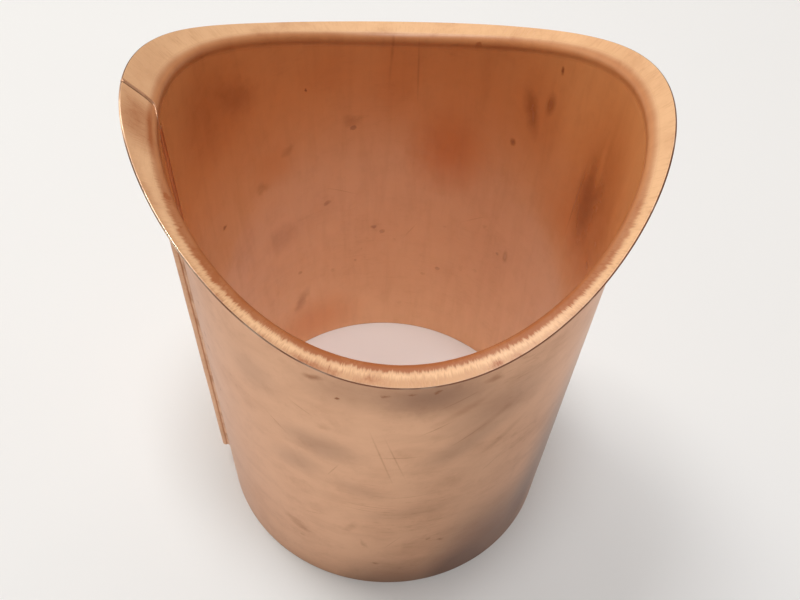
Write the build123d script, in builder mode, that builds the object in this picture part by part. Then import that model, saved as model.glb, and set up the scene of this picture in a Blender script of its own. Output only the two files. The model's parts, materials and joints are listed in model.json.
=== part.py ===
from build123d import *
from math import asin, cos, degrees, radians, sin
import os

os.makedirs("parts", exist_ok=True)

# Solder-in outlet for a half-round copper gutter: one copper sheet rolled into a tube, closed
# by a lock seam folded to the outside, and flared at the top into a saddle flange that beds
# inside the gutter. Z is the tube's axis, Z = 0 the spigot's lower end, the gutter runs along Y.

# Tube and gutter
tube_r = 50.0            # outside radius, for a 100 mm downpipe
sheet = 0.6              # copper sheet
gutter_r = 76.5          # inside radius of the half-round gutter
gutter_bottom = 115.0    # height of the gutter's lowest line above the spigot's end
bend_r = 1.5             # bend between wall and flange, on the gutter side

# Flange width beyond the tube, uneven because the rim is dressed by hand
flange_ends = 5.7        # the two low points, along the gutter
flange_seam = 5.9        # high point on the seam's side
flange_far = 4.1         # high point opposite
flange_between = 4.2     # between low and high points

# Lock seam
seam_angle = 184.5       # direction of the joint line from the tube's axis
seam_w = 8.0             # across the folded plies
seam_end = 16.0          # plain spigot left below the folds
seam_top_gap = 1.0       # from the top of the folds to the flange's bend
ply_gap = 0.1            # between the folded plies
tip_gap = 0.3            # from the end of a ply to the fold that holds it
joint_gap = 0.8          # joint line where the sheet's edges only meet

# Solder
groove_sink = 0.2        # inside run below the wall's inner face, along the folds
foot_w = 0.8             # outside run at the foot of the folds
foot_h = 0.7

# Derived sizes
bore_r = tube_r - sheet
flange_top_r = gutter_r - sheet
axis_z = gutter_bottom + gutter_r
seam_top_r = gutter_r + bend_r + seam_top_gap
block_h = axis_z - gutter_r / 3
fold_in = ply_gap + sheet / 2
fold_out = fold_in + sheet
wrap_in = fold_out + ply_gap
wrap_out = wrap_in + sheet
inner_fold_r = tube_r + fold_in
outer_fold_r = inner_fold_r + sheet + ply_gap
deg_per_mm = degrees(1 / tube_r)
inner_fold_a = seam_angle + (ply_gap / 2 + fold_out) * deg_per_mm
outer_fold_a = seam_angle + (seam_w - fold_out) * deg_per_mm
half_step_a = degrees(asin((fold_in + wrap_out) / 2 / inner_fold_r))
step_mid_a = inner_fold_a - half_step_a
step_a = step_mid_a - half_step_a
lap_start_a = step_a - deg_per_mm
lap_end_a = inner_fold_a + deg_per_mm
inner_tip_a = inner_fold_a + tip_gap * deg_per_mm
outer_tip_a = outer_fold_a - tip_gap * deg_per_mm
foot_start_a = outer_fold_a + fold_out * deg_per_mm
foot_end_a = foot_start_a + foot_w * deg_per_mm


def at(radius, angle):
    """A point of the tube's cross-section from its distance and direction."""
    return (radius * cos(radians(angle)), radius * sin(radians(angle)))


def around(radius, start, end):
    """An arc round the tube's axis."""
    return CenterArc((0, 0), radius, start, end - start)


# The flared tube before its joint: flange disc on the gutter's curve, tube, bends and bore
flange_points = [
    at(tube_r + flange_far, 0),
    at(tube_r + flange_between, 45),
    at(tube_r + flange_ends, 90),
    at(tube_r + flange_between, 135),
    at(tube_r + flange_seam, 180),
    at(tube_r + flange_between, 225),
    at(tube_r + flange_ends, 270),
    at(tube_r + flange_between, 315),
]
with BuildPart() as flared_tube:
    with BuildSketch(Plane.XY):
        with BuildLine():
            Spline(*flange_points, periodic=True)
        make_face()
    extrude(amount=block_h)
    with BuildSketch(Plane.XZ):
        with Locations((0, axis_z)):
            Circle(gutter_r)
            Circle(flange_top_r, mode=Mode.SUBTRACT)
    extrude(amount=gutter_r, both=True, mode=Mode.INTERSECT)
    with BuildSketch(Plane.XY):
        Circle(tube_r)
    extrude(amount=block_h)
    with BuildSketch(Plane.XZ):
        with Locations((0, axis_z)):
            Circle(flange_top_r)
    extrude(amount=gutter_r, both=True, mode=Mode.SUBTRACT)
    bend_edge = flared_tube.edges().filter_by(GeomType.BSPLINE).sort_by(SortBy.LENGTH)[0]
    fillet(bend_edge, radius=bend_r)
    with BuildSketch(Plane.XY):
        Circle(bore_r)
    extrude(amount=block_h, mode=Mode.SUBTRACT)
    crest_edge = flared_tube.edges(Select.LAST).group_by(Axis.Z)[-1]
    fillet(crest_edge, radius=bend_r + sheet)

# Round the joint line: the stretch of wall that the folds replace, below the flange's bend
with BuildPart() as fold_height:
    with BuildSketch(Plane.XY.offset(seam_end)):
        Circle(tube_r * 1.2)
    extrude(amount=block_h)
    with BuildSketch(Plane.XZ):
        with Locations((0, axis_z)):
            Circle(seam_top_r)
    extrude(amount=gutter_r, both=True, mode=Mode.SUBTRACT)

with BuildPart() as folded_stretch:
    with BuildSketch(Plane.XY):
        with BuildLine():
            around(tube_r + sheet, lap_start_a, lap_end_a)
            Line(at(tube_r + sheet, lap_end_a), at(bore_r - sheet, lap_end_a))
            around(bore_r - sheet, lap_end_a, lap_start_a)
            Line(at(bore_r - sheet, lap_start_a), at(tube_r + sheet, lap_start_a))
        make_face()
    extrude(amount=block_h)
    add(fold_height.part, mode=Mode.INTERSECT)

with BuildPart() as joint_line:
    with BuildSketch(Plane.XY):
        with Locations(at(tube_r, seam_angle)):
            Rectangle(gutter_r / 2, joint_gap, rotation=seam_angle)
    extrude(amount=block_h)
    add(folded_stretch.part, mode=Mode.SUBTRACT)

# Copper sheet: tube, flange and the two hooked edges of the lock seam
with BuildPart() as folded_edges:
    with BuildSketch(Plane.XY):
        # front edge of the sheet: wall, folded back over the outside
        with BuildLine():
            around(bore_r, lap_end_a, inner_fold_a)
            CenterArc(at(inner_fold_r, inner_fold_a), fold_out, inner_fold_a + 180, 180)
            around(tube_r + fold_in + fold_out, inner_fold_a, outer_tip_a)
            Line(
                at(tube_r + fold_in + fold_out, outer_tip_a),
                at(inner_fold_r + fold_in, outer_tip_a),
            )
            around(inner_fold_r + fold_in, outer_tip_a, inner_fold_a)
            CenterArc(at(inner_fold_r, inner_fold_a), fold_in, inner_fold_a, -180)
            around(tube_r, inner_fold_a, lap_end_a)
            Line(at(tube_r, lap_end_a), at(bore_r, lap_end_a))
        make_face()
        # back edge of the sheet: stepped out over the first fold, then folded under
        with BuildLine():
            around(bore_r, lap_start_a, step_a)
            CenterArc(at(inner_fold_r, step_a), fold_out, step_a + 180, half_step_a - 90)
            CenterArc(at(inner_fold_r, inner_fold_a), wrap_in, step_mid_a - 90, 90 + half_step_a)
            around(inner_fold_r + wrap_in, inner_fold_a, outer_fold_a)
            CenterArc(at(outer_fold_r, outer_fold_a), fold_in, outer_fold_a, 180)
            around(outer_fold_r - fold_in, outer_fold_a, inner_tip_a)
            Line(
                at(outer_fold_r - fold_in, inner_tip_a),
                at(outer_fold_r - fold_out, inner_tip_a),
            )
            around(outer_fold_r - fold_out, inner_tip_a, outer_fold_a)
            CenterArc(at(outer_fold_r, outer_fold_a), fold_out, outer_fold_a + 180, -180)
            around(outer_fold_r + fold_out, outer_fold_a, inner_fold_a)
            CenterArc(
                at(inner_fold_r, inner_fold_a), wrap_out, inner_fold_a, -90 - half_step_a
            )
            CenterArc(at(inner_fold_r, step_a), fold_in, step_mid_a + 90, 90 - half_step_a)
            around(tube_r, step_a, lap_start_a)
            Line(at(tube_r, lap_start_a), at(bore_r, lap_start_a))
        make_face()
    extrude(amount=block_h)
    add(fold_height.part, mode=Mode.INTERSECT)

with BuildPart() as outlet_sheet:
    add(flared_tube.part)
    add(folded_stretch.part, mode=Mode.SUBTRACT)
    add(joint_line.part, mode=Mode.SUBTRACT)
    add(folded_edges.part)
outlet_sheet.part.label = "outlet_sheet"
export_step(outlet_sheet.part, "parts/outlet_sheet.step")

# Solder in the joint: flush where the edges meet, and a sunk run in the groove of the folds
with BuildPart() as joint_solder:
    with BuildSketch(Plane.XY):
        with Locations(at((bore_r + groove_sink + inner_fold_r) / 2, seam_angle)):
            Rectangle(
                inner_fold_r - bore_r - groove_sink,
                2 * fold_out + ply_gap,
                rotation=seam_angle,
            )
        with Locations(at(inner_fold_r, inner_fold_a), at(inner_fold_r, step_a)):
            Circle(fold_out, mode=Mode.SUBTRACT)
    extrude(amount=block_h)
    add(fold_height.part, mode=Mode.INTERSECT)
    add(flared_tube.part & joint_line.part)
joint_solder.part.label = "joint_solder"
export_step(joint_solder.part, "parts/joint_solder.step")

# Solder along the foot of the folds, on the outside
with BuildPart() as foot_solder:
    with BuildSketch(Plane.XY):
        with BuildLine():
            around(tube_r, outer_fold_a, foot_end_a)
            Line(
                at(tube_r, foot_end_a),
                at(tube_r + foot_h, foot_start_a),
            )
            Line(
                at(tube_r + foot_h, foot_start_a),
                at(outer_fold_r, outer_fold_a),
            )
            Line(at(outer_fold_r, outer_fold_a), at(tube_r, outer_fold_a))
        make_face()
        with Locations(at(outer_fold_r, outer_fold_a)):
            Circle(fold_out, mode=Mode.SUBTRACT)
    extrude(amount=block_h)
    add(fold_height.part, mode=Mode.INTERSECT)
foot_solder.part.label = "foot_solder"
export_step(foot_solder.part, "parts/foot_solder.step")
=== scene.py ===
import json
from math import asin, cos, degrees, pi, radians, sin, sqrt

import bmesh
import bpy
from mathutils import Matrix, Vector, noise


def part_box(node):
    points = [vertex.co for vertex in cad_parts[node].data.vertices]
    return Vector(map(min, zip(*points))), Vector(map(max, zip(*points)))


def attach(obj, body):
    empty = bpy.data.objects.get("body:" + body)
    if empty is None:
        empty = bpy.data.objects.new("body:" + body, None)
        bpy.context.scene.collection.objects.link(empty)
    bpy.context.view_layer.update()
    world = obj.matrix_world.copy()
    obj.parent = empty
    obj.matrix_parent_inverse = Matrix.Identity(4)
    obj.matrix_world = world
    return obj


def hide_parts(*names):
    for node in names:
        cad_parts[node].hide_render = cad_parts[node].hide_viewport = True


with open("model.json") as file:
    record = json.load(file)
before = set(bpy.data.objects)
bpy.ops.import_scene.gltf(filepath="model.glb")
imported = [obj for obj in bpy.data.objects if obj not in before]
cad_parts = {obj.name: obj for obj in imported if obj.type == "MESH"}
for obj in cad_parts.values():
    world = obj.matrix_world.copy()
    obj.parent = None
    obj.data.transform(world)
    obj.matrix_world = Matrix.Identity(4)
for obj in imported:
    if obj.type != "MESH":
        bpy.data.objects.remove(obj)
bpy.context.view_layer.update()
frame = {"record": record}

# ---------------------------------------------------------------------------------------
# Outlet sheet
# One piece of 0.6 mm copper sheet, rolled into a tube and flared over a former into a
# saddle flange that beds on the inner face of a half-round gutter. The rim is dressed by
# hand, so its width wanders and the metal carries faint waves.
# ---------------------------------------------------------------------------------------
mounts = {m["name"]: m for m in frame["record"]["mounts"]}
tube_r = mounts["spigot"]["dims"]["r_mm"] / 1000
bore_r = mounts["tube_bore"]["dims"]["r_mm"] / 1000
gutter_r = mounts["gutter_seat"]["dims"]["r_mm"] / 1000
gutter_bottom = mounts["gutter_seat"]["pos_m"][2]
sheet = tube_r - bore_r
axis_z = gutter_bottom + gutter_r
bend_r = 0.0015
sheet_low, sheet_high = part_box("outlet_sheet")

seam_angle = 184.5
joint_drift = 4.0    # degrees that the joint leans across the bend and the flange
seam_end = mounts["spigot"]["dims"]["length_mm"] / 1000
seam_w = 0.008
ply_gap = 0.0001
tip_gap = 0.0003
joint_gap = 0.0008
seam_top_gap = 0.001
seam_land = 0.001    # flat sheet kept each side of the folds

fold_in = ply_gap + sheet / 2
fold_out = fold_in + sheet
wrap_in = fold_out + ply_gap
wrap_out = wrap_in + sheet
deg_per_m = degrees(1 / tube_r)
inner_fold_r = tube_r + fold_in
outer_fold_r = inner_fold_r + sheet + ply_gap
inner_fold_a = seam_angle + (ply_gap / 2 + fold_out) * deg_per_m
outer_fold_a = seam_angle + (seam_w - fold_out) * deg_per_m
half_step_a = degrees(asin((fold_in + wrap_out) / 2 / inner_fold_r))
step_mid_a = inner_fold_a - half_step_a
step_a = step_mid_a - half_step_a
lap_start_a = step_a - seam_land * deg_per_m
lap_end_a = inner_fold_a + seam_land * deg_per_m


class Wire:
    """An output socket of a node tree, so that the maths on it reads as a sum."""

    def __init__(self, tree, socket):
        self.tree, self.socket = tree, socket

    def node(self, kind, settings=None, inputs=None, output=0):
        """Adds any other node: its settings first, then its sockets' values or wires."""
        made = self.tree.nodes.new(kind)
        for name, value in (settings or {}).items():
            setattr(made, name, value)
        for key, value in (inputs or {}).items():
            if isinstance(value, Wire):
                self.tree.links.new(value.socket, made.inputs[key])
            else:
                made.inputs[key].default_value = value
        return Wire(self.tree, made.outputs[output])

    def maths(self, operation, *values, clamp=False):
        settings = {"operation": operation, "use_clamp": clamp}
        return self.node("ShaderNodeMath", settings, dict(enumerate((self, *values))))

    def __add__(self, other):
        return self.maths("ADD", other)

    def __sub__(self, other):
        return self.maths("SUBTRACT", other)

    def __mul__(self, other):
        return self.maths("MULTIPLY", other)

    def __truediv__(self, other):
        return self.maths("DIVIDE", other)

    def __rsub__(self, other):
        return self * -1 + other

    def __neg__(self):
        return self * -1

    __radd__, __rmul__ = __add__, __mul__

    def clamped(self):
        return self.maths("ADD", 0.0, clamp=True)

    def above(self, edge, width):
        """0 below edge, 1 above edge + width, smooth between."""
        t = ((self - edge) / width).clamped()
        return t * t * (3 - 2 * t)

    def vector(self, operation, *values, output=0):
        """Vector Math on this wire and the values."""
        inputs = dict(enumerate((self, *values)))
        return self.node("ShaderNodeVectorMath", {"operation": operation}, inputs, output)


def new_tree(name, sizes):
    """An empty Geometry Nodes tree with a named input for each size, and its first wire."""
    tree = bpy.data.node_groups.new(name, "GeometryNodeTree")
    tree.interface.new_socket("Mesh", in_out="OUTPUT", socket_type="NodeSocketGeometry")
    for size in sizes:
        tree.interface.new_socket(size, in_out="INPUT", socket_type="NodeSocketFloat")
    tree.interface.new_socket("Material", in_out="INPUT", socket_type="NodeSocketMaterial")
    entry = tree.nodes.new("NodeGroupInput")
    return tree, {s.name: Wire(tree, s) for s in entry.outputs if s.name}


def mesh_from_tree(name, tree, sizes, material):
    """Runs the tree with these sizes and gives a plain mesh object."""
    carrier = bpy.data.objects.new(name + "_tree", bpy.data.meshes.new(name + "_tree"))
    bpy.context.scene.collection.objects.link(carrier)
    modifier = carrier.modifiers.new("tree", "NODES")
    modifier.node_group = tree
    for item in tree.interface.items_tree:
        if item.in_out == "INPUT":
            modifier[item.identifier] = sizes.get(item.name, material)
    evaluated = carrier.evaluated_get(bpy.context.evaluated_depsgraph_get())
    mesh = bpy.data.meshes.new_from_object(evaluated)
    bpy.data.objects.remove(carrier)
    mesh.name = name
    piece = bpy.data.objects.new(name, mesh)
    bpy.context.scene.collection.objects.link(piece)
    return piece


def new_material(name):
    """A material with its Principled shader, and a wire of its Object coordinates."""
    material = bpy.data.materials.new(name)
    material.use_nodes = True
    tree = material.node_tree
    shader = tree.nodes["Principled BSDF"]
    coordinates = tree.nodes.new("ShaderNodeTexCoord")
    return material, shader, Wire(tree, coordinates.outputs["Object"])


def feed(shader, **wires):
    """Links each wire to the shader socket of that name."""
    for name, wire in wires.items():
        wire.tree.links.new(wire.socket, shader.inputs[name.replace("_", " ")])


def mixed(share, first, second):
    """A colour between two colours or colour wires, by a wire of 0 to 1."""
    first, second = ((*c, 1) if isinstance(c, tuple) else c for c in (first, second))
    return share.node("ShaderNodeMix", {"data_type": "RGBA"}, {0: share, 6: first, 7: second}, 2)


def grain(place, scale, detail=3.0, rough=0.55, twist=0.0):
    """A cloudy noise of 0 to 1."""
    return place.node("ShaderNodeTexNoise", None, {
        "Vector": place, "Scale": scale, "Detail": detail, "Roughness": rough,
        "Distortion": twist})


def patches(place, wall_r, marks):
    """Soft marks on the wall, each (azimuth, height, half width, half height, lean, depth)
    in degrees and mm, added up."""
    total = None
    for azimuth, height, half_w, half_h, lean, depth in marks:
        a = radians(azimuth)
        local = place.node("ShaderNodeMapping", {"vector_type": "TEXTURE"}, {
            "Vector": place,
            "Location": (wall_r * cos(a), wall_r * sin(a), height / 1000),
            "Rotation": (radians(lean), 0, a),
            "Scale": (0.006, half_w / 1000, half_h / 1000)})
        mark = (1 - local.vector("LENGTH", output=1).above(0.1, 1.15)) * depth
        total = mark if total is None else total + mark
    return total


# The inner face is bright orange, deeper orange high on the wall as painted interreflection, with a few
# dark smears, drag marks and larger deeper orange patches. All the lists of marks are written as
# patches() takes them.
mid_wall = (tube_r + bore_r) / 2
inner_tints = [
    (72, 83, 14, 17, 0, 1.0), (10, 100, 20, 38, 0, 1.1), (152, 114, 20, 16, 0, 0.8),
    (90, 104, 7, 16, 0, 0.5), (28, 84, 10, 14, 0, 0.4), (122, 9, 24, 14, 0, 0.7),
    (45, 108, 9, 16, -10, 0.5), (112, 108, 10, 8, 20, 0.4), (132, 84, 9, 8, 30, 0.4),
]
inner_marks = [
    (47, 105, 2.6, 7.5, -18, 0.6), (41, 110, 1.6, 3.6, 8, 0.6), (51.2, 92.9, 1.0, 1.1, 0, 0.8),
    (17, 94, 5.5, 15, 0, 0.6), (8, 98, 14, 26, 0, 0.35), (143, 112, 9, 5, 35, 0.4),
    (158, 116, 15, 17, 0, 0.3), (14, 108, 15, 24, 0, 0.2),
    (104, 91, 3.2, 2.2, 20, 0.3), (137, 79.5, 3, 2, 30, 0.28), (126, 87, 2.4, 1.8, -20, 0.25),
    (156.3, 78.4, 0.9, 0.9, 0, 1.4), (132, 56, 7.5, 6.5, 0, 0.26), (126, 23, 2.2, 6.0, 25, 0.35),
    (45.6, 52, 1.0, 3.0, 0, 0.4), (119, 103.6, 0.6, 0.6, 0, 1.2), (39.6, 120, 0.5, 1.0, 0, 1.2),
    (15, 107, 1.6, 9, 0, -0.3), (150, 62, 6, 12, 10, 0.12),
]
inner_scratches = [
    (92, 112, 0.5, 12, 3, 0.22), (84, 106, 0.35, 10, -2, 0.25), (60, 60, 0.2, 5, 50, 0.2),
    (108, 66, 0.2, 6, -62, 0.22), (83, 48, 0.2, 4, 30, 0.22), (22, 92, 0.3, 13, 2, 0.4),
]
# Darker places on the flange: in front of the joint, behind it, and at the far end
flange_marks = [
    (189, 130, 7.5, 20, 0, 1.3), (170, 135, 10, 16, 0, 0.25), (28, 132, 14, 16, 0, 0.2),
]
# The outer face is handled: brown smears, rubbed streaks and short scratches. The first three tints,
# large and dark low on the front right, are painted shade where the wall mirrors the tube's shadow on
# the floor
outer_smears_and_painted_shade = [
    (308, 10, 27, 36, 0, 0.9), (334, 36, 17, 52, 0, 0.8), (280, -6, 46, 24, 0, 0.75),
    (281, 102, 14, 8, 10, 0.4), (297, 93, 16, 11, 25, 0.3), (288, 79, 12, 5, 35, 0.28),
    (251, 78, 12, 6, -10, 0.28), (268, 104, 26, 8, 0, 0.28), (243, 66, 8, 6, 20, 0.22),
    (262, 60, 9, 4, -20, 0.16), (275, 48, 16, 4, 12, 0.14), (232, 96, 8, 8, 10, 0.16),
    (60, 40, 14, 12, 20, 0.28), (100, 88, 12, 9, -30, 0.28), (140, 60, 10, 16, 10, 0.24),
    (20, 60, 9, 18, -10, 0.28), (350, 85, 10, 11, 20, 0.25), (170, 30, 10, 8, 0, 0.28),
]
outer_marks = [
    (252, 87, 2.0, 1.6, 0, 0.2), (241, 27, 6.0, 2.8, -35, 0.28), (259, 38, 1.4, 3.6, -25, 0.22),
    (250, 106, 2.6, 1.2, 10, 0.6), (256.3, 100.6, 0.5, 0.5, 0, 1.5), (268, 104, 1.2, 0.5, 0, 0.6),
    (274, 104.5, 1.0, 0.5, 0, 0.7), (280, 104.8, 0.7, 0.6, 0, 1.0), (294, 105, 2.4, 1.4, 0, 0.4),
    (287, 64, 6, 4.0, 0, 0.18), (287.4, 28, 1.4, 1.2, 30, 0.5), (267, 15, 1.3, 1.0, 0, 0.5),
    (263, 28, 0.8, 3.0, 20, 0.3), (296, 88, 9, 1.6, 40, 0.22), (288, 96, 9, 1.4, 35, 0.2),
    (302, 78, 8, 1.6, 42, 0.2), (120, 70, 2.4, 1.6, 20, 0.4), (40, 90, 3.0, 1.4, -30, 0.4),
]
outer_scratches = [
    (267.4, 77.4, 0.28, 13, 13.7, 0.3), (271, 77.4, 0.24, 10.5, 15.7, 0.26),
    (272, 78, 5.4, 0.26, 4, 0.28), (264, 52, 7, 0.25, -6, 0.3), (262, 49.5, 6, 0.2, -8, 0.25),
    (277, 58, 7, 0.2, 7, 0.25), (281, 90, 5, 0.22, 32, 0.35), (290, 84, 6, 0.25, 38, 0.35),
    (286, 100, 5, 0.25, 28, 0.4), (246, 92, 4, 0.2, -30, 0.3), (238, 80, 5, 0.22, -42, 0.3),
    (254, 68, 0.2, 4, -24, 0.3), (300, 66, 5, 0.2, 44, 0.3), (247, 40, 4, 0.2, 24, 0.25),
    (272, 30, 0.2, 5, -30, 0.25), (60, 70, 8, 0.22, 20, 0.35), (130, 80, 0.22, 9, 20, 0.35),
    (350, 60, 7, 0.22, -25, 0.35),
]


def shaken(place, scale, shift):
    """The same places moved about by a noise, so that what is drawn there has a torn edge."""
    ragged = grain(place, scale, 4.0, 0.6).vector("SUBTRACT", (0.5, 0.5, 0.5))
    return place.vector("ADD", ragged.vector("MULTIPLY", (shift, shift, shift)))


def bend_and_lip_painted_reflection(xyz, reach, tool, front):
    """Painted reflection at the flange: a brown band round the bend, where it mirrors the dark inside of
    the tube and the room, narrow but wide and frayed in front, and the brown lip of the flange in front,
    where its outer edge mirrors darker surroundings."""
    # How high a place on the wall is over the line where the wall turns into the bend
    turned = xyz[0] * ((tube_r + bend_r) / bore_r)
    drop = ((gutter_r + bend_r) ** 2 - turned * turned).maths("SQRT")
    wall_end = (xyz[2] + drop - axis_z).above(-0.0014, 0.0016)
    bend_start = (reach.above(bore_r + 0.00012, 0.0003) + wall_end).clamped()
    frayed = reach + (tool - 0.5) * (0.0006 + front * 0.0022)
    throat_end = tube_r + 0.0002 + front * 0.0013
    throat_painted_reflection = bend_start * (1 - (frayed - throat_end).above(0.0, 0.0013))
    return throat_painted_reflection, frayed.above(tube_r + 0.0028, 0.0016) * front


def copper(name, inner, lower_wall_and_painted_shade, upper_wall_painted_light, tint_colour_and_painted_shade, dressed, brown_stain_and_painted_reflection, tint_marks_and_painted_shade, marks, scratches, streak,
           rough, wear):
    """Worn copper. The first two colours are the wall's colours low and high: on the inner face the
    deeper orange high up is painted interreflection, and on the outer face both are the same darkened
    copper, painted shade. The third is the colour of the placed tints, which on the outer face are
    partly painted shade, dressed is the flange, and the brown is what stains them all and also paints
    the reflection round the bend."""
    material, shader, place = new_material(name)
    xyz = [place.node("ShaderNodeSeparateXYZ", None, {0: place}, i) for i in range(3)]
    reach = place.vector("MULTIPLY", (1, 1, 0)).vector("LENGTH", output=1)
    angle = xyz[1].maths("ARCTAN2", xyz[0])
    on_flange = reach.above(bore_r + sheet * (0.5 if inner else 1.5), 0.0012)
    uneven = shaken(place, 260.0, 0.0035)

    # Wear of the walls: clouds, rubbing, fine lines round the tube, specks, placed marks
    clouds = grain(place, 32.0, 4.0, 0.6)
    rubbed = grain(place.vector("MULTIPLY", streak), 60.0, 5.0, 0.62, 0.4)
    fine = grain(uneven, 150.0, 6.0, 0.7)
    hair = grain(place.vector("MULTIPLY", (0.25, 0.25, 2.6)), 210.0, 2.0, 0.5)
    lines = 1 - (hair - 0.5).maths("ABSOLUTE").above(0.0, 0.022)
    cells = place.node("ShaderNodeTexVoronoi", None, {
        "Vector": uneven, "Scale": 150.0, "Randomness": 1.0})
    speck = (1 - cells.above(0.10, 0.06)) * clouds.above(0.55, 0.1)
    placed = patches(uneven, mid_wall, marks) + patches(place, mid_wall, scratches)
    stain_and_painted_reflection = placed * (1 - on_flange) * (0.65 + fine * 0.7) + clouds.above(0.42, 0.3) * wear * 0.6
    stain_and_painted_reflection = stain_and_painted_reflection + rubbed.above(0.40, 0.35) * wear * 0.8 + fine.above(0.45, 0.3) * wear * 0.7
    stain_and_painted_reflection = stain_and_painted_reflection + lines * clouds.above(0.5, 0.1) * (0.06 if inner else 0.18) + speck * 0.5

    # Round the bend and across the flange run the short marks of the flaring tool
    around = angle.node("ShaderNodeCombineXYZ", None, {
        0: angle * 150.0, 1: reach * 260.0, 2: xyz[2] * 260.0})
    tool = grain(around, 1.0, 3.0, 0.6)
    oxide = grain(place, 75.0, 5.0, 0.65, 0.8).above(0.50, 0.25)
    stain_and_painted_reflection = stain_and_painted_reflection + on_flange * (oxide * 0.2 + tool.above(0.52, 0.14) * 0.12)
    roughness = rough + clouds * 0.10 + on_flange * (tool * 0.10 - 0.04)
    if inner:
        front = (xyz[1] / -tube_r).above(0.1, 0.7)
        # painted reflection: a dark band round the bend and a brown outer lip in front, added to the
        # stains
        throat_painted_reflection, lip_painted_reflection = bend_and_lip_painted_reflection(xyz, reach, tool, front)
        darker = patches(place, tube_r + 0.002, flange_marks) * on_flange
        stain_and_painted_reflection = stain_and_painted_reflection + throat_painted_reflection * (0.55 + front * 0.35) + lip_painted_reflection * oxide * 0.5 + lip_painted_reflection * 0.4
        stain_and_painted_reflection = stain_and_painted_reflection + darker.clamped() * 0.55
        roughness = roughness + throat_painted_reflection * 0.16

    # On the outer face these tints include painted shade, low on the front right
    tint_and_shade_mask = patches(uneven, mid_wall, tint_marks_and_painted_shade).clamped()
    # The wall turns to the upper colour towards the top. On the inner face this is painted
    # interreflection: deep orange high up, where the wall mirrors the inside floor lit only by the
    # copper round it, paler low down where it mirrors the lit floor. On the outer face both colours are
    # the same painted shade.
    wall_colour = mixed(tint_and_shade_mask, mixed(xyz[2].above(0.074, 0.034), lower_wall_and_painted_shade, upper_wall_painted_light), tint_colour_and_painted_shade)
    colour = mixed(stain_and_painted_reflection.clamped(), mixed(on_flange, wall_colour, dressed), brown_stain_and_painted_reflection)
    bump = place.node("ShaderNodeBump", None, {
        "Strength": 0.20, "Distance": 0.0002,
        "Height": rubbed * 0.6 + on_flange * tool * 0.45 - lines * 0.12 - speck * 0.5})
    feed(shader, Base_Color=colour, Normal=bump, Roughness=roughness + stain_and_painted_reflection * 0.10)
    # Known fault: the inner face is left at the shader's own Metallic of 0, where bare copper
    # has 1, so it lacks the shine of metal
    if not inner:
        # Thick oxide is no longer bare metal, so the tints are made less metallic and stay dark at a low
        # angle; this also keeps the painted shade low on the front right dark
        feed(shader, Metallic=1 - tint_and_shade_mask * 0.75)
        shader.inputs["Specular Tint"].default_value = (0.84, 0.78, 0.75, 1)
    return material


# On the inner face the upper colour, deeper orange than the lower, is painted interreflection
copper_inside = copper(
    "copper_inside", inner=True, lower_wall_and_painted_shade=(0.95, 0.57, 0.32), upper_wall_painted_light=(0.92, 0.435, 0.18),
    tint_colour_and_painted_shade=(0.84, 0.34, 0.12), dressed=(0.92, 0.56, 0.31), brown_stain_and_painted_reflection=(0.42, 0.13, 0.04),
    tint_marks_and_painted_shade=inner_tints, marks=inner_marks, scratches=inner_scratches, streak=(4.0, 4.0, 0.6),
    rough=0.17, wear=0.12)
# The outer face's wall colour is darker than the inner face's: painted shade for the dimmer floor it
# mirrors, the copper being the same through. Its tint colour is the dark brown of the smears and of the
# painted shade low on the front right.
copper_outside = copper(
    "copper_outside", inner=False, lower_wall_and_painted_shade=(0.78, 0.465, 0.295), upper_wall_painted_light=(0.78, 0.465, 0.295),
    tint_colour_and_painted_shade=(0.24, 0.105, 0.055), dressed=(0.74, 0.45, 0.29), brown_stain_and_painted_reflection=(0.36, 0.15, 0.07),
    tint_marks_and_painted_shade=outer_smears_and_painted_shade, marks=outer_marks, scratches=outer_scratches, streak=(1.0, 1.0, 2.0),
    rough=0.25, wear=0.22)


def cut_edge(name):
    """Sheared edge of the sheet: dark, with burnished stretches where a file passed, and a painted
    highlight on the left of the rim, where the edge catches the light.
    """
    material, shader, place = new_material(name)
    burnish = grain(place, 70.0, 3.0, 0.6).above(0.5, 0.12)
    # painted highlight: the edge is made bright on the left of the rim, where it catches the light
    left = patches(place, tube_r, [(203, 126, 26, 34, 0, 1.0)])
    share = (burnish * 0.35 + left).clamped()
    scoring = grain(place.vector("MULTIPLY", (1, 1, 0.2)), 1500.0, 2.0)
    bump = place.node("ShaderNodeBump", None, {
        "Strength": 0.15, "Distance": 0.0001, "Height": scoring})
    feed(shader, Base_Color=mixed(share, (0.30, 0.13, 0.07), (0.95, 0.74, 0.56)), Normal=bump,
         Roughness=0.36 - share * 0.14)
    shader.inputs["Metallic"].default_value = 1.0
    return material


copper_edge = cut_edge("copper_cut_edge")

end_lift = 0.00001         # keeps the rounded lower edge above the sheet's own end
edge_r = 0.0002            # the cut edges are just broken
edge_angle = radians(50)   # only corners sharper than this are edges
calm_columns = 16          # the roll's waves die out beside the joint
columns, lap_columns = 364, 2
spigot_rows, fold_rows, neck_rows, bend_rows, flange_rows = 8, 50, 2, 10, 8
rows = spigot_rows + fold_rows + neck_rows + bend_rows + flange_rows

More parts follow.
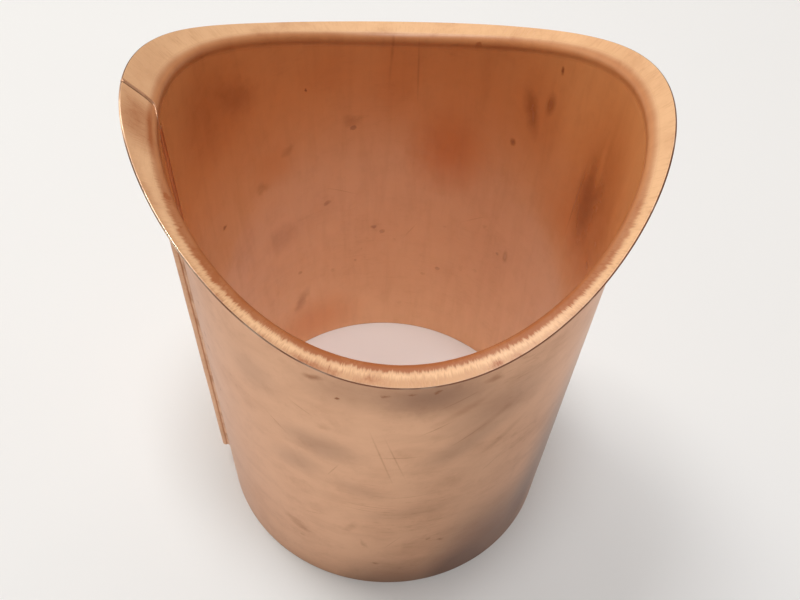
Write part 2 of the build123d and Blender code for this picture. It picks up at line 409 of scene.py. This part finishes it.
flare, size = new_tree("flared_sheet", [
    "Tube Radius", "Bore Radius", "Gutter Radius", "Gutter Axis", "Bend Radius",
    "Flange Ends", "Flange Seam", "Flange Far", "Flange Between", "Spigot Length",
    "Fold Top Radius", "Joint Angle", "Joint Drift", "Joint Half", "Lap Half", "Wave", "Crown"])
grid = size["Tube Radius"].node("GeometryNodeMeshGrid", None, {
    "Size X": 1.0, "Size Y": 1.0, "Vertices X": columns + 1, "Vertices Y": rows + 1})
uv = grid.node("GeometryNodeInputPosition")
across = (uv.node("ShaderNodeSeparateXYZ", None, {0: uv}, 0) + 0.5) * columns
along = (uv.node("ShaderNodeSeparateXYZ", None, {0: uv}, 1) + 0.5) * rows


def stretch(wire, first, count):
    """0 to 1 over a run of count steps that starts at first."""
    return ((wire - first) / count).clamped()


# Direction round the axis: narrow columns beside the joint, even ones between
joint, lap = size["Joint Half"], size["Lap Half"]
turn = size["Joint Angle"] + joint + (lap - joint) * stretch(across, 0, lap_columns)
turn = turn + (2 * pi - 2 * lap) * stretch(across, lap_columns, columns - 2 * lap_columns)
turn = turn + (lap - joint) * stretch(across, columns - lap_columns, lap_columns)
drift = stretch(along, spigot_rows + fold_rows, neck_rows + bend_rows + flange_rows * 0.5)
turn = turn - size["Joint Drift"] * drift * drift * (3 - 2 * drift)
cos_t, sin_t = turn.maths("COSINE"), turn.maths("SINE")

# A ball of the bend's radius rolls in the corner of tube and gutter: its path is the bend
ball_r = size["Tube Radius"] + size["Bend Radius"]
ball_reach = size["Gutter Radius"] + size["Bend Radius"]
ball_x = ball_r * cos_t
ball_rise = (ball_reach * ball_reach - ball_x * ball_x).maths("SQRT")
ball_z = size["Gutter Axis"] - ball_rise
thick = size["Tube Radius"] - size["Bore Radius"]
face_r = size["Bend Radius"] + thick
top_x, top_z = -(ball_x / ball_reach), ball_rise / ball_reach
sweep = (-(cos_t * top_x)).maths("ARCCOSINE")
bend = stretch(along, spigot_rows + fold_rows + neck_rows, bend_rows)
wall_part = ((1 - bend) * sweep).maths("SINE") / sweep.maths("SINE")
top_part = (bend * sweep).maths("SINE") / sweep.maths("SINE")
face_x = ball_x + face_r * (top_x * top_part - cos_t * wall_part)
face_y = ball_r * sin_t - face_r * sin_t * wall_part
fold_x = size["Tube Radius"] * cos_t
fold_top = size["Gutter Axis"] - (
    size["Fold Top Radius"] * size["Fold Top Radius"] - fold_x * fold_x).maths("SQRT")
spigot_part = stretch(along, 0, spigot_rows)
wall_z = size["Spigot Length"] * spigot_part + (1 - spigot_part) * end_lift
wall_z = wall_z + (fold_top - size["Spigot Length"]) * stretch(along, spigot_rows, fold_rows)
wall_z = wall_z + (ball_z - fold_top) * stretch(along, spigot_rows + fold_rows, neck_rows)
face_z = wall_z + face_r * top_z * top_part

# From the bend the sheet follows the gutter out to the dressed rim
seam_far = (size["Flange Far"] + size["Flange Seam"]) * 0.5
odd = (size["Flange Far"] - size["Flange Seam"]) * 0.25
even = (seam_far - size["Flange Ends"]) * 0.5
mean = ((seam_far + size["Flange Ends"]) * 0.5 + size["Flange Between"]) * 0.5
rim_r = size["Tube Radius"] + mean + odd * (cos_t + (turn * 3).maths("COSINE"))
rim_r = rim_r + even * (turn * 2).maths("COSINE")
rim_r = rim_r + (mean - size["Flange Between"]) * (turn * 4).maths("COSINE")
rim_r = rim_r - thick * rim_r * cos_t * cos_t / size["Gutter Radius"]
out = stretch(along, rows - flange_rows, flange_rows)
edge_x = ball_x + face_r * top_x
x = face_x + out * (rim_r * cos_t - edge_x)
y = face_y + out * (rim_r - ball_r) * sin_t
top_r = size["Gutter Radius"] - thick
drop = (top_r * top_r - edge_x * edge_x).maths("SQRT")
flange_x = edge_x + out * (rim_r * cos_t - edge_x)
z = face_z + drop - (top_r * top_r - flange_x * flange_x).maths("SQRT")

# Faint waves left by the rolls and the mallet, none at the spigot's end or by the joint
flat = x.node("ShaderNodeCombineXYZ", None, {0: x, 1: y, 2: z})
waves = flat.node("ShaderNodeTexNoise", None, {"Vector": flat, "Scale": 30.0, "Detail": 1.0})
dents = flat.node("ShaderNodeTexNoise", None, {"Vector": flat, "Scale": 130.0, "Detail": 1.0})
calm = stretch(across, lap_columns, calm_columns)
calm = calm * stretch(columns - across, lap_columns, calm_columns)
push = size["Wave"] * spigot_part * calm * ((waves - 0.5) * 2 + (dents - 0.5) * 0.35)
x = x - push * cos_t * (1 - out)
y = y - push * sin_t * (1 - out)
z = z - size["Wave"] * bend * calm * waves * 1.5 - size["Crown"] * out * out * sin_t * sin_t
place = x.node("ShaderNodeCombineXYZ", None, {0: x, 1: y, 2: z})

# The strip beside the joint is left out where the folds take its place
near_joint = across.maths("LESS_THAN", lap_columns) + across.maths(
    "GREATER_THAN", columns - lap_columns)
fold_span = along.maths("GREATER_THAN", spigot_rows) * along.maths(
    "LESS_THAN", spigot_rows + fold_rows)
opened = grid.node("GeometryNodeDeleteGeometry", {"domain": "FACE"}, {
    "Geometry": grid, "Selection": near_joint * fold_span})
moved = opened.node("GeometryNodeSetPosition", None, {"Geometry": opened, "Position": place})
smooth = moved.node("GeometryNodeSetShadeSmooth", None, {"Geometry": moved})
real = smooth.node("GeometryNodeRealizeInstances", None, {"Geometry": smooth})
painted = real.node("GeometryNodeSetMaterial", None, {
    "Geometry": real, "Material": size["Material"]})
leave = flare.nodes.new("NodeGroupOutput")
flare.links.new(painted.socket, leave.inputs[0])

outlet = mesh_from_tree("outlet_sheet_copper", flare, {
    "Tube Radius": tube_r,
    "Bore Radius": bore_r,
    "Gutter Radius": gutter_r,
    "Gutter Axis": axis_z,
    "Bend Radius": bend_r,
    "Flange Ends": sheet_high.y - tube_r,
    "Flange Seam": -sheet_low.x - tube_r,
    "Flange Far": 0.0041,
    "Flange Between": 0.0042,
    "Spigot Length": seam_end,
    "Fold Top Radius": gutter_r + bend_r + seam_top_gap,
    "Joint Angle": radians(seam_angle),
    "Joint Drift": radians(joint_drift),
    "Joint Half": joint_gap / 2 / tube_r,
    "Lap Half": radians(lap_end_a - lap_start_a) / 2,
    "Wave": 0.00010,
    "Crown": 0.00012,
}, copper_outside)
outlet.data.materials.append(copper_inside)
outlet.data.materials.append(copper_edge)


def break_edges(piece, width, segments):
    """Rounds the sheet's cut edges over."""
    edges = piece.modifiers.new("broken_edges", "BEVEL")
    edges.width, edges.segments, edges.limit_method = width, segments, "ANGLE"
    edges.angle_limit, edges.harden_normals = edge_angle, True


wall = outlet.modifiers.new("sheet", "SOLIDIFY")
wall.thickness, wall.offset, wall.use_even_offset = sheet, 1.0, True
wall.material_offset, wall.material_offset_rim = 1, 2
break_edges(outlet, edge_r, 3)
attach(outlet, "root")
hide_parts("outlet_sheet")

# ---------------------------------------------------------------------------------------
# Lock seam
# The two long edges of the sheet, hooked over each other and hammered flat outside the
# tube. Four plies thick and 8 mm wide, it stops short of the spigot's end, so that the
# end slides into a downpipe, and below the flange's bend.
# ---------------------------------------------------------------------------------------
fold_bend_points, fold_run_points, fold_stations = 10, 8, 44
hammer_scale, hammer_depth = 170, 0.00005
ply_edge_r = 0.00008


def spot(radius, angle):
    """A point of the cross-section from its distance and direction, in degrees."""
    return Vector((radius * cos(radians(angle)), radius * sin(radians(angle))))


def ply(pieces):
    """Both faces of a folded edge, from arcs of (centre, middle radius, start, sweep, side).
    side is 1 where the sheet's outer face is the arc's outer side, and -1 where not."""
    outer, inner = [], []
    for centre, radius, start, sweep, side in pieces:
        count = fold_bend_points if abs(sweep) > 40 else fold_run_points
        for k in range(count + 1):
            if k == 0 and outer:
                continue
            way = spot(1, start + sweep * k / count)
            outer.append(centre + way * (radius + side * sheet / 2))
            inner.append(centre + way * (radius - side * sheet / 2))
    return outer, inner


def fold_top(point):
    """Where the folds stop under the saddle."""
    reach = gutter_r + bend_r + seam_top_gap
    return axis_z - sqrt(reach ** 2 - point.x ** 2)


axis_point = Vector((0, 0))
first_fold, second_fold = spot(inner_fold_r, inner_fold_a), spot(outer_fold_r, outer_fold_a)
fold_mid, wrap_mid = (fold_in + fold_out) / 2, (wrap_in + wrap_out) / 2
inner_tip_a = inner_fold_a + tip_gap * deg_per_m
outer_tip_a = outer_fold_a - tip_gap * deg_per_m
front_edge = ply([
    (axis_point, bore_r + sheet / 2, lap_end_a, inner_fold_a - lap_end_a, 1),
    (first_fold, fold_mid, inner_fold_a + 180, 180, -1),
    (axis_point, inner_fold_r + fold_mid, inner_fold_a, outer_tip_a - inner_fold_a, -1),
])
back_edge = ply([
    (axis_point, bore_r + sheet / 2, lap_start_a, step_a - lap_start_a, 1),
    (spot(inner_fold_r, step_a), fold_mid, step_a + 180, half_step_a - 90, -1),
    (first_fold, wrap_mid, step_mid_a - 90, 90 + half_step_a, 1),
    (axis_point, inner_fold_r + wrap_mid, inner_fold_a, outer_fold_a - inner_fold_a, 1),
    (second_fold, fold_mid, outer_fold_a, 180, 1),
    (axis_point, outer_fold_r - fold_mid, outer_fold_a, inner_tip_a - outer_fold_a, -1),
])

bm = bmesh.new()
for outer, inner in (front_edge, back_edge):
    loop = outer + inner[::-1]
    rings = []
    for k in range(fold_stations + 1):
        ring = []
        for point in loop:
            height = seam_end + (fold_top(point) - seam_end) * k / fold_stations
            proud = max(point.length - tube_r - sheet, 0) / (2 * sheet)
            dent = noise.noise(Vector((point.x, point.y, height)) * hammer_scale) * hammer_depth * proud
            ring.append(bm.verts.new((*(point * (1 + dent / point.length)), height)))
        rings.append(ring)
    count = len(loop)
    for low, high in zip(rings, rings[1:]):
        for i in range(count):
            j = (i + 1) % count
            bm.faces.new((low[i], low[j], high[j], high[i]))
    half = len(outer)
    for ring in (rings[0], rings[-1]):
        for i in range(half - 1):
            bm.faces.new((ring[i], ring[i + 1], ring[count - 2 - i], ring[count - 1 - i]))
bmesh.ops.recalc_face_normals(bm, faces=bm.faces)


def piece_from(bm, name, material):
    """A smooth-shaded mesh object from a finished bmesh."""
    mesh = bpy.data.meshes.new(name)
    for face in bm.faces:
        face.smooth = True
    bm.to_mesh(mesh)
    bm.free()
    mesh.materials.append(material)
    piece = bpy.data.objects.new(name, mesh)
    bpy.context.scene.collection.objects.link(piece)
    return piece


folds = piece_from(bm, "lock_seam_folds", copper_outside)
break_edges(folds, ply_edge_r, 2)
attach(folds, "root")

# ---------------------------------------------------------------------------------------
# Joint solder
# Soft solder run into the joint from inside: flush where the sheet's edges only meet, at
# the spigot and across the flange, and sunk in the groove of the folds between. It sets
# with a rippled skin, tarnishes, and keeps a bright crown where it was wiped.
# ---------------------------------------------------------------------------------------
def solder(name):
    material, shader, place = new_material(name)
    ripple = grain(place, 900.0, 3.0, 0.5)
    tarnish = grain(place, 160.0, 4.0, 0.5)
    colour = mixed(tarnish.above(0.4, 0.25), (0.88, 0.56, 0.37), (0.62, 0.32, 0.18))
    bump = place.node("ShaderNodeBump", None, {
        "Strength": 0.4, "Distance": 0.0002, "Height": ripple})
    feed(shader, Base_Color=colour, Roughness=0.28 + ripple * 0.25, Normal=bump)
    shader.inputs["Metallic"].default_value = 0.65
    return material


joint_metal = solder("joint_solder_metal")
bead_half, bead_crown, groove_sink = joint_gap / 2, 0.00008, 0.0002
rim_slope = 0.76           # share of the sheet's thickness that the rim's slope takes up
groove_end = 0.0008        # the groove of the folds starts and ends this far inside them
bead_top = [(-1.0, -0.00006), (-0.6, -0.00001), (0.0, 0.00003), (0.6, -0.00001), (1.0, -0.00006)]


def joint_station(height=None, bend=None, out=None):
    """A point on the sheet's inner face along the joint, with the way out of the face."""
    run = neck_rows + bend_rows + flange_rows * 0.5
    step = 0 if height is not None else neck_rows
    step += (bend or 0) * bend_rows if out is None else bend_rows + out * flange_rows
    drift = min(step / run, 1)
    angle = radians(seam_angle - joint_drift * drift * drift * (3 - 2 * drift))
    way = Vector((cos(angle), sin(angle), 0))
    ball_x = (tube_r + bend_r) * way.x
    rise = sqrt((gutter_r + bend_r) ** 2 - ball_x ** 2)
    ball = Vector((ball_x, (tube_r + bend_r) * way.y, axis_z - rise))
    top_way = Vector((-ball_x, 0, rise)) / (gutter_r + bend_r)
    if height is not None:
        return way * bore_r + Vector((0, 0, height)), -way
    if bend is not None:
        normal = (-way).slerp(top_way, bend)
        return ball + normal * (bend_r + sheet), normal
    edge = ball + top_way * (bend_r + sheet)
    rim = way * (-sheet_low.x - sheet * rim_slope)
    flat = edge.lerp(rim, out)
    reach = gutter_r - sheet
    flat.z = axis_z - sqrt(reach ** 2 - flat.x ** 2)
    return flat, Vector((-flat.x, 0, axis_z - flat.z)).normalized()


fold_high = fold_top(spot(tube_r, seam_angle))
spigot_heights = [0.0001, 0.001, 0.004, 0.008, 0.012, seam_end - 0.0005]
groove_low, groove_high, groove_steps = seam_end + groove_end, fold_high - groove_end, 90
stations = [(*joint_station(height=h), 0) for h in spigot_heights]
for k in range(groove_steps + 1):
    height = groove_low + (groove_high - groove_low) * k / groove_steps
    stations.append((*joint_station(height=height), 1))
stations.append((*joint_station(height=fold_high + groove_end / 2), 0))
stations += [(*joint_station(bend=k / 8), 0) for k in range(9)]
stations += [(*joint_station(out=k / 12), 0) for k in range(1, 13)]

side_way = Vector((-sin(radians(seam_angle)), cos(radians(seam_angle)), 0))
bm = bmesh.new()
rings = []
for point, normal, sunk in stations:
    wobble = noise.noise(point * 700)
    half = bead_half * (1 + 0.15 * sunk) * (1 + 0.06 * wobble)
    top = bead_crown * (1 + wobble) - groove_sink * sunk
    depth = sheet * 0.95 + 0.0003 * sunk
    profile = [(-1.0, -depth), *((a, top + b) for a, b in bead_top), (1.0, -depth)]
    rings.append([bm.verts.new(point + side_way * (half * a) + normal * b) for a, b in profile])
for low, high in zip(rings, rings[1:]):
    for i in range(len(low)):
        j = (i + 1) % len(low)
        bm.faces.new((low[i], low[j], high[j], high[i]))
bm.faces.new(rings[0])
bm.faces.new(rings[-1][::-1])
bmesh.ops.recalc_face_normals(bm, faces=bm.faces)
joint_run = piece_from(bm, "joint_solder_run", joint_metal)
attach(joint_run, "root")
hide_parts("joint_solder")

# ---------------------------------------------------------------------------------------
# Foot solder
# The run of solder that seals the foot of the folds on the outside, drawn in by heat and
# left as a hollow fillet between the last fold and the wall.
# ---------------------------------------------------------------------------------------
foot_w = 0.0008
foot_start_a = outer_fold_a + fold_out * deg_per_m
foot_steps = 5
fold_wrap = 72             # degrees that the solder climbs round the last fold
bm = bmesh.new()
rings = []
for k in range(fold_stations * 2 + 1):
    share = k / (fold_stations * 2)
    ring = []
    wander = 0.96 + 0.03 * noise.noise(Vector((0, 0, share * 6)))
    reach_a = foot_start_a + foot_w * deg_per_m * wander
    for i in range(foot_steps + 1):
        ring.append(second_fold + spot(fold_out * 0.97, outer_fold_a + 180 - i * fold_wrap / foot_steps))
    low, high = spot(tube_r, reach_a), ring[-1]
    corner = spot(tube_r + 0.00012, foot_start_a + 0.15 * foot_w * deg_per_m)
    for i in range(1, foot_steps + 1):
        t = i / foot_steps
        ring.append(high * (1 - t) ** 2 + corner * 2 * t * (1 - t) + low * t ** 2)
    for i in range(1, foot_steps):
        ring.append(spot(tube_r - 0.00002, reach_a + (outer_fold_a - reach_a) * i / foot_steps))
    heights = [seam_end + (fold_top(p) - seam_end) * share for p in ring]
    rings.append([bm.verts.new((*p, h)) for p, h in zip(ring, heights)])
for low, high in zip(rings, rings[1:]):
    for i in range(len(low)):
        j = (i + 1) % len(low)
        bm.faces.new((low[i], low[j], high[j], high[i]))
bm.faces.new(rings[0])
bm.faces.new(rings[-1][::-1])
bmesh.ops.recalc_face_normals(bm, faces=bm.faces)
foot_run = piece_from(bm, "foot_solder_run", solder("foot_solder_metal"))
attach(foot_run, "root")
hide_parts("foot_solder")

# ---------------------------------------------------------------------------------------
# Bench, lights and camera
# A plain pale bench top in a dim warm room. Small soft boxes high up give the light and the
# soft shadow, three cool ones behind are what the flange mirrors in front, and two warm ones
# low at the sides are what it mirrors at its high ends. The camera looks down from the front.
# ---------------------------------------------------------------------------------------
bm = bmesh.new()
bmesh.ops.create_grid(bm, x_segments=8, y_segments=8, size=3.0)
floor_material, floor_shader, floor_place = new_material("pale_bench")
mottle = grain(floor_place, 6.0, 2.0, 0.5)
feed(floor_shader, Base_Color=mixed(mottle, (0.86, 0.86, 0.86), (0.88, 0.88, 0.88)))
floor_shader.inputs["Roughness"].default_value = 0.9
floor = piece_from(bm, "bench", floor_material)

scene = bpy.context.scene
world = bpy.data.worlds.new("studio_room")
world.use_nodes = True
world.node_tree.nodes["Background"].inputs["Color"].default_value = (1.0, 0.84, 0.68, 1)
world.node_tree.nodes["Background"].inputs["Strength"].default_value = 0.12
scene.world = world
scene.view_settings.view_transform = "Standard"


def soft_box(name, azimuth, elevation, distance, width, height, glow, colour=(1, 1, 1)):
    """An area light that faces the object, from its direction in degrees and its glow."""
    lamp = bpy.data.lights.new(name, "AREA")
    lamp.shape, lamp.size, lamp.size_y = "RECTANGLE", width, height
    lamp.energy, lamp.color = glow * pi * width * height, colour
    box = bpy.data.objects.new(name, lamp)
    a, e = radians(azimuth), radians(elevation)
    way = Vector((cos(e) * cos(a), cos(e) * sin(a), sin(e)))
    box.location = way * distance + Vector((0, 0, 0.08))
    box.rotation_euler = way.to_track_quat("Z", "Y").to_euler()
    scene.collection.objects.link(box)


soft_box("key_box", 143, 68, 2.0, 0.55, 0.55, 10.5)
soft_box("top_box", 290, 85, 2.2, 0.6, 0.6, 21.0, (0.98, 0.99, 1.0))
soft_box("window_box", 126, 50, 2.2, 0.9, 0.6, 2.6, (0.97, 0.99, 1.0))
soft_box("sky_box", 112, 54, 2.4, 1.8, 0.8, 0.6, (0.98, 1.0, 1.0))
soft_box("back_box", 72, 57, 2.2, 1.2, 0.7, 1.3, (0.96, 0.99, 1.0))
soft_box("left_box", 150, 16, 2.0, 1.1, 1.1, 2.4, (1.0, 0.88, 0.66))
soft_box("right_box", 32, 19, 2.0, 1.4, 0.8, 0.6, (1.0, 0.66, 0.46))

camera_data = bpy.data.cameras.new("camera")
camera = bpy.data.objects.new("camera", camera_data)
tilt, roll = radians(59.47), radians(1.4)
camera.location = Vector((-0.098, -2.944, 5.064)) * tube_r
camera.rotation_euler = (
    Matrix.Rotation(pi / 2 - tilt, 3, "X") @ Matrix.Rotation(roll, 3, "Z")).to_euler()
camera_data.lens = 39.445
camera_data.shift_x, camera_data.shift_y = 0.0368, 0.1685
scene.collection.objects.link(camera)
scene.camera = camera
